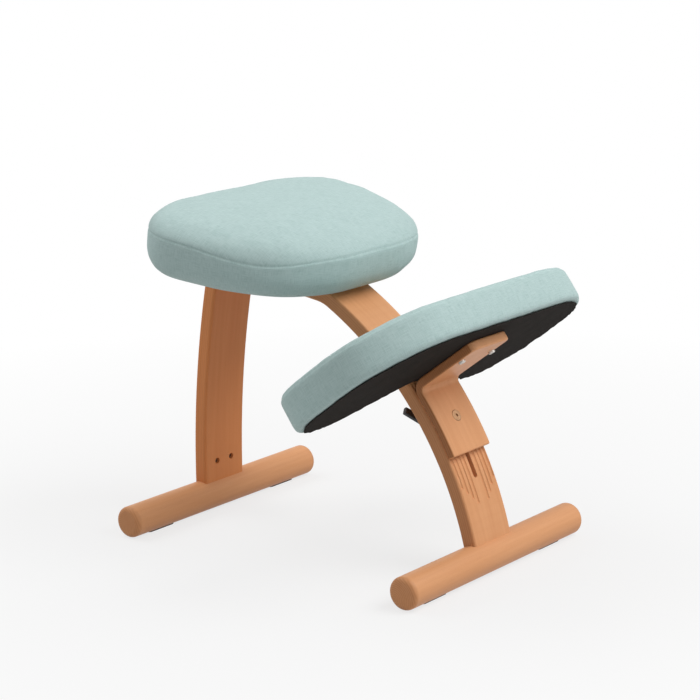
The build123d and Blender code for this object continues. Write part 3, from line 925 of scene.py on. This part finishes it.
def sewn(bm, pad):
    """Draw the cover in along its seam, and leave it softly uneven."""
    cushions = settings()[0]
    for offset in SEAM_CUTS:
        level = (0, 0, pad.seam + offset * cushions.seam_width)
        everything = bm.verts[:] + bm.edges[:] + bm.faces[:]
        bmesh.ops.bisect_plane(
            bm, geom=everything, dist=0.1 * MM, plane_co=level, plane_no=UPWARD
        )
    bm.normal_update()
    moves = []
    for vertex in bm.verts:
        off = (vertex.co.z - pad.seam) / cushions.seam_width
        sunk = cushions.seam_depth * exp(-(off**2) * SEAM_STEEPNESS)
        uneven = noise.noise(vertex.co * SWELLS)
        uneven += RIPPLE_SHARE * noise.noise(vertex.co * RIPPLES)
        free = min(1.0, max(0.0, (vertex.co.z - SMOOTH_BELOW) / UNEVEN_AFTER))
        moves.append(vertex.normal * (uneven * cushions.pucker * free - sunk))
    for vertex, move in zip(bm.verts, moves):
        vertex.co += move
        vertex.co.z = max(vertex.co.z, pad.base)


def weave_map(mesh, pad):
    """Map the weave: flattened outwards over the top panel, and round and under below the seam."""
    step = sum((b - a).length for a, b in zip(pad.line, after(pad.line))) / len(pad.line)
    total = step * len(pad.line)
    around = []
    above = []
    for vertex in mesh.vertices:
        index, inset, shift = pad.nearest(vertex.co)
        down = inset if vertex.co.z < pad.tuck else 0.0
        around.append(Vector((index * step + shift, vertex.co.z - down)))
        hang = max(0.0, pad.thickness - vertex.co.z) * HANG
        above.append(vertex.co.to_2d() + pad.sides[index].to_2d() * hang)
    layer = mesh.uv_layers.new(name=WEAVE)
    for face in mesh.polygons:
        top = face.center.z > pad.seam
        first = around[mesh.loops[face.loop_start].vertex_index].x
        for corner in face.loop_indices:
            vertex = mesh.loops[corner].vertex_index
            place = (above if top else around)[vertex].copy()
            if not top and abs(place.x - first) > total / 2:
                place.x += total if place.x < first else -total
            layer.data[corner].uv = place


def cushion(name, pad, dip, body, replaced):
    """Make a cushion from its cover's flat pattern to its stuffed and sewn form."""
    cushions = settings()[0]
    piece = to_object(ring_stack([pad.ring(*ring) for ring in pad.section()]), name)
    gridded(piece, cushions.voxel)
    stuffed(piece, pad)
    bm = bmesh.new()
    bm.from_mesh(piece.data)
    sewn(bm, pad)
    bm.to_mesh(piece.data)
    bm.free()
    weave_map(piece.data, pad)
    for vertex in piece.data.vertices:
        vertex.co.z -= dip(vertex.co)
    piece.data.transform(pad.place)
    piece.data.shade_smooth()
    soft = piece.modifiers.new("soft", "SUBSURF")
    soft.levels = 1
    soft.render_levels = 1
    piece.data.materials.clear()
    piece.data.materials.append(linen(f"{name}_linen"))
    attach(piece, body)
    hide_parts(*replaced)


def underlining(name, pad, margin, body, node):
    """Black cloth under a cushion, with a loose, slightly wavy edge."""
    rings = []
    for inset, looseness in CLOTH_RINGS:
        points = []
        for point, side in zip(pad.line, pad.sides):
            wave = noise.noise(point * LONG_WAVES)
            wave += SHORT_SHARE * noise.noise(point * SHORT_WAVES)
            edge = margin + inset * MM + wave * CLOTH_WAVE * looseness
            sag = -abs(noise.noise(point * SAGS + SAG_START)) * CLOTH_SAG * looseness
            spot = point - side * edge
            points.append(Vector((spot.x, spot.y, sag)))
        rings.append(points)
    bm = ring_stack(rings, both_ends=False)
    wide = [f for f in bm.faces if len(f.verts) > 4]
    bmesh.ops.triangulate(bm, faces=wide, ngon_method="EAR_CLIP")
    bmesh.ops.recalc_face_normals(bm, faces=bm.faces)
    area = sum(f.calc_area() for f in bm.faces)
    if sum(f.normal.z * f.calc_area() for f in bm.faces) > 0:
        bmesh.ops.reverse_faces(bm, faces=bm.faces)
    layer = bm.loops.layers.uv.new(WEAVE)
    for face in bm.faces:
        for corner in face.loops:
            corner[layer].uv = corner.vert.co.to_2d()
    piece = to_object(bm, name)
    piece.data.transform(pad.place)
    piece.data.shade_smooth()
    wall = piece.modifiers.new("cloth", "SOLIDIFY")
    wall.thickness = CLOTH_WALL
    wall.offset = -1
    piece.data.materials.append(non_woven(f"{name}_cloth"))
    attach(piece, body)
    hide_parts(node)


def seat_pad(cushions):
    return Pad(
        "seat_cover",
        "seat_dust_cover",
        cushions.seat_thickness,
        cushions.seat_tuck,
        cushions.seat_roll,
        cushions.seat_crown,
        cushions.seat_seam,
        fall=cushions.seat_fall,
    )


def knee_pad(cushions):
    return Pad(
        "knee_cover",
        "knee_dust_cover",
        cushions.knee_thickness,
        cushions.knee_tuck,
        cushions.knee_roll,
        cushions.knee_crown,
        cushions.knee_seam,
        crown_y=cushions.knee_crown_y,
    )


# Stage

WHITE = (1, 1, 1, 1)
FADE_REACH = 2000.0
SENSOR = 36.0


def rays_seen(wire):
    """1 for the rays that show the background itself."""
    kinds = ("Is Camera Ray", "Is Glossy Ray", "Is Transmission Ray")
    camera, glossy, through = [wire.add("ShaderNodeLightPath", output=kind) for kind in kinds]
    return wire.math("MAXIMUM", wire.math("MAXIMUM", camera, glossy), through)


def make_floor():
    """A pale floor that keeps the shadow near the chair and runs out to plain white."""
    stage = settings()[2]
    bm = bmesh.new()
    bmesh.ops.create_circle(bm, cap_ends=True, segments=96, radius=stage.floor_radius)
    floor = to_object(bm, "floor")
    material, wire = new_material("pale_floor")
    x, y, _ = in_millimetres(wire)
    away = (x**2 + y**2) ** 0.5
    fade = ramp(wire, away / FADE_REACH, [(0.18, 0), (0.75, 1)])
    plain = rays_seen(wire) * (stage.floor_white + fade * (1 - stage.floor_white))
    matte = wire.add("ShaderNodeBsdfDiffuse", inputs={"Color": (*stage.floor_shade, 1)})
    white = wire.add("ShaderNodeEmission", inputs={"Color": WHITE, "Strength": 1.0})
    surface = wire.add("ShaderNodeMixShader", inputs={0: plain, 1: matte, 2: white})
    wire.add("ShaderNodeOutputMaterial", inputs={"Surface": surface})
    floor.data.materials.append(material)


def make_light(scene):
    """Even light from all round, a strong lamp in front and a weaker one behind."""
    stage = settings()[2]
    world = bpy.data.worlds.new("studio")
    world.use_nodes = True
    world.node_tree.nodes.clear()
    wire = Wire(world.node_tree)
    strength = stage.sky + rays_seen(wire) * (1 - stage.sky)
    sky = wire.add("ShaderNodeBackground", inputs={"Color": WHITE, "Strength": strength})
    wire.add("ShaderNodeOutputWorld", inputs={"Surface": sky})
    scene.world = world
    make_lamp(scene, "key", stage.key, stage.key_place)
    make_lamp(scene, "back", stage.back, stage.back_place)


def make_lamp(scene, name, power, place):
    """A large round lamp that points at the middle of the chair."""
    lamp = bpy.data.lights.new(name, "AREA")
    lamp.shape = "DISK"
    lamp.size = settings()[2].lamp_size
    lamp.energy = power
    light = bpy.data.objects.new(name, lamp)
    scene.collection.objects.link(light)
    middle = (CAD_BOX[0] + CAD_BOX[1]) / 2
    light.location = Vector(place)
    light.rotation_euler = (middle - light.location).to_track_quat("-Z", "Y").to_euler()


def make_camera(scene):
    """A long lens at the picture's angle."""
    stage = settings()[2]
    turn, rise, roll = stage.azimuth, stage.elevation, stage.roll
    back = Vector((sin(turn) * cos(rise), -cos(turn) * cos(rise), sin(rise)))
    level = Vector((cos(turn), sin(turn), 0))
    upright = back.cross(level)
    right = level * cos(roll) + upright * sin(roll)
    up = upright * cos(roll) - level * sin(roll)
    lens = bpy.data.cameras.new("camera")
    lens.lens = stage.lens
    lens.sensor_width = SENSOR
    camera = bpy.data.objects.new("camera", lens)
    scene.collection.objects.link(camera)
    target = Vector((0, stage.target_y, stage.target_z))
    turned = Matrix((right, up, back)).transposed().to_4x4()
    camera.matrix_world = Matrix.Translation(target + back * stage.distance) @ turned
    scene.camera = camera


# Operators


class CHAIR_OT_wood(bpy.types.Operator):
    """Finish the bars, the bent legs and the bracket in lacquered beech"""

    bl_idname = "chair.wood"
    bl_label = "Wood"

    def execute(self, context):
        finishes = settings()[1]
        for bar in ("front_foot_bar", "rear_foot_bar"):
            wood = beech(f"{bar}_beech", bar_grain(bar), bar_ends_and_shade(bar), laminated=False)
            dress(wood, "beech", bar)
        front = arc_grain(FRONT_ARC_CENTRE, FRONT_ARC_RADIUS, -1)
        rear = arc_grain(REAR_ARC_CENTRE, REAR_ARC_RADIUS, 1)
        redder_and_shaded = (finishes.beech_rear_shaded, finishes.beech_rear_shaded_pale)
        wood = beech("front_leg_beech", front, ply_edges_and_shade("front_leg"))
        dress(wood, "beech", "front_leg")
        # Painted shade: the bracket's sides go far towards the dark tint, for the shadow under the
        # knee cushion
        wood = beech("bracket_beech_shaded_sides", front, ply_edges_and_shade("knee_bracket"), sawn_and_shade=0.75)
        dress(wood, "beech", "knee_bracket")
        # The rear leg's redder, darker tints are partly its own tone and partly painted shade under
        # the seat, and its sides are barely darkened
        wood = beech("rear_leg_beech", rear, ply_edges_and_shade("rear_leg"), sawn_and_shade=0.04, tints=redder_and_shaded)
        dress(wood, "beech", "rear_leg")
        dress(plywood(), "plywood", "seat_board", "knee_board")
        return {"FINISHED"}


class CHAIR_OT_fittings(bpy.types.Operator):
    """Finish the bolts, nuts, washers, lever and feet"""

    bl_idname = "chair.fittings"
    bl_label = "Fittings"

    def execute(self, context):
        finishes = settings()[1]
        zinc = plated("zinc_plate", finishes.zinc, 0.28, 0.16)
        dress(zinc, "zinc_steel", "foot_bolts", "foot_bolt_washers", "clamp_washer")
        dress(zinc, "zinc_steel", "seat_tee_nuts", "seat_bolts", "seat_bolt_washers")
        dress(zinc, "zinc_steel", "bracket_tee_nuts", "bracket_bolts")
        # Painted shade: the barrel nuts take a darkened zinc for the shade in their holes
        dress(plated("painted_shade_nuts", finishes.shaded_nut_zinc, 0.4, 0.2), "zinc_steel", "barrel_nuts")
        dress(plated("bronzed_head", finishes.bronze, 0.36, 0.2), "bronzed_steel", "clamp_bolt")
        dress(plated("turned_brass", finishes.brass, 0.22, 0.12), "brass", "lever_insert")
        plastic = moulded("black_lever", finishes.plastic, 0.38, 0.35)
        dress(plastic, "black_plastic", "clamp_lever", "lever_cap")
        dress(moulded("foot_rubber", finishes.rubber, 0.7, 0.5), "rubber", "foot_pads")
        return {"FINISHED"}


class CHAIR_OT_seat(bpy.types.Operator):
    """Make the seat cushion and the black cloth under it"""

    bl_idname = "chair.seat"
    bl_label = "Seat"

    def execute(self, context):
        cushions = settings()[0]
        pad = seat_pad(cushions)
        low = pad.tuck * DIP_START
        high = pad.thickness + pad.crown / 2

        def dip(point):
            spot = Vector((abs(point.x), point.y))
            away = (spot - SEAT_CORNER).length / cushions.dip_reach
            rising = (point.z - low) / (pad.seam - low)
            falling = (high - point.z) / (high - pad.seam)
            return cushions.seat_dip * exp(-(away**2)) * max(0.0, min(rising, falling, 1.0))

        cushion("seat_cushion", pad, dip, "frame", ("seat_cover", "seat_foam"))
        margin = pad.tuck + cushions.seat_margin
        underlining("seat_underlining", pad, margin, "frame", "seat_dust_cover")
        return {"FINISHED"}


class CHAIR_OT_knee_rest(bpy.types.Operator):
    """Make the knee cushion and the black cloth under it"""

    bl_idname = "chair.knee_rest"
    bl_label = "Knee rest"

    def execute(self, context):
        cushions = settings()[0]
        pad = knee_pad(cushions)
        replaced = ("knee_cover", "knee_foam")
        cushion("knee_cushion", pad, lambda point: 0.0, "knee_rest", replaced)
        margin = pad.tuck + cushions.knee_margin
        underlining("knee_underlining", pad, margin, "knee_rest", "knee_dust_cover")
        return {"FINISHED"}


class CHAIR_OT_stage(bpy.types.Operator):
    """Set up the floor, the light and the camera"""

    bl_idname = "chair.stage"
    bl_label = "Stage"

    def execute(self, context):
        scene = context.scene
        scene.view_settings.view_transform = "Standard"
        make_floor()
        make_light(scene)
        make_camera(scene)
        return {"FINISHED"}


# Panel and registration

STEPS = (CHAIR_OT_wood, CHAIR_OT_fittings, CHAIR_OT_seat, CHAIR_OT_knee_rest, CHAIR_OT_stage)


class CHAIR_PT_panel(bpy.types.Panel):
    """Steps that dress the chair"""

    bl_idname = "CHAIR_PT_panel"
    bl_label = "Kneeling chair"
    bl_space_type = "VIEW_3D"
    bl_region_type = "UI"
    bl_category = "Chair"

    def draw(self, context):
        for step in STEPS:
            self.layout.operator(step.bl_idname)
        for group in settings():
            box = self.layout.box()
            for name in group.bl_rna.properties.keys()[2:]:
                box.prop(group, name)


GROUPS = {
    "chair_cushions": ChairCushions,
    "chair_finishes": ChairFinishes,
    "chair_stage": ChairStage,
}
CLASSES = (*GROUPS.values(), *STEPS, CHAIR_PT_panel)


def register():
    for cls in CLASSES:
        bpy.utils.register_class(cls)
    for name, group in GROUPS.items():
        setattr(bpy.types.Scene, name, PointerProperty(type=group))


def unregister():
    for name in GROUPS:
        delattr(bpy.types.Scene, name)
    for cls in reversed(CLASSES):
        bpy.utils.unregister_class(cls)


def main():
    register()
    bpy.ops.chair.wood()
    bpy.ops.chair.fittings()
    bpy.ops.chair.seat()
    bpy.ops.chair.knee_rest()
    bpy.ops.chair.stage()


if __name__ == "__main__":
    main()
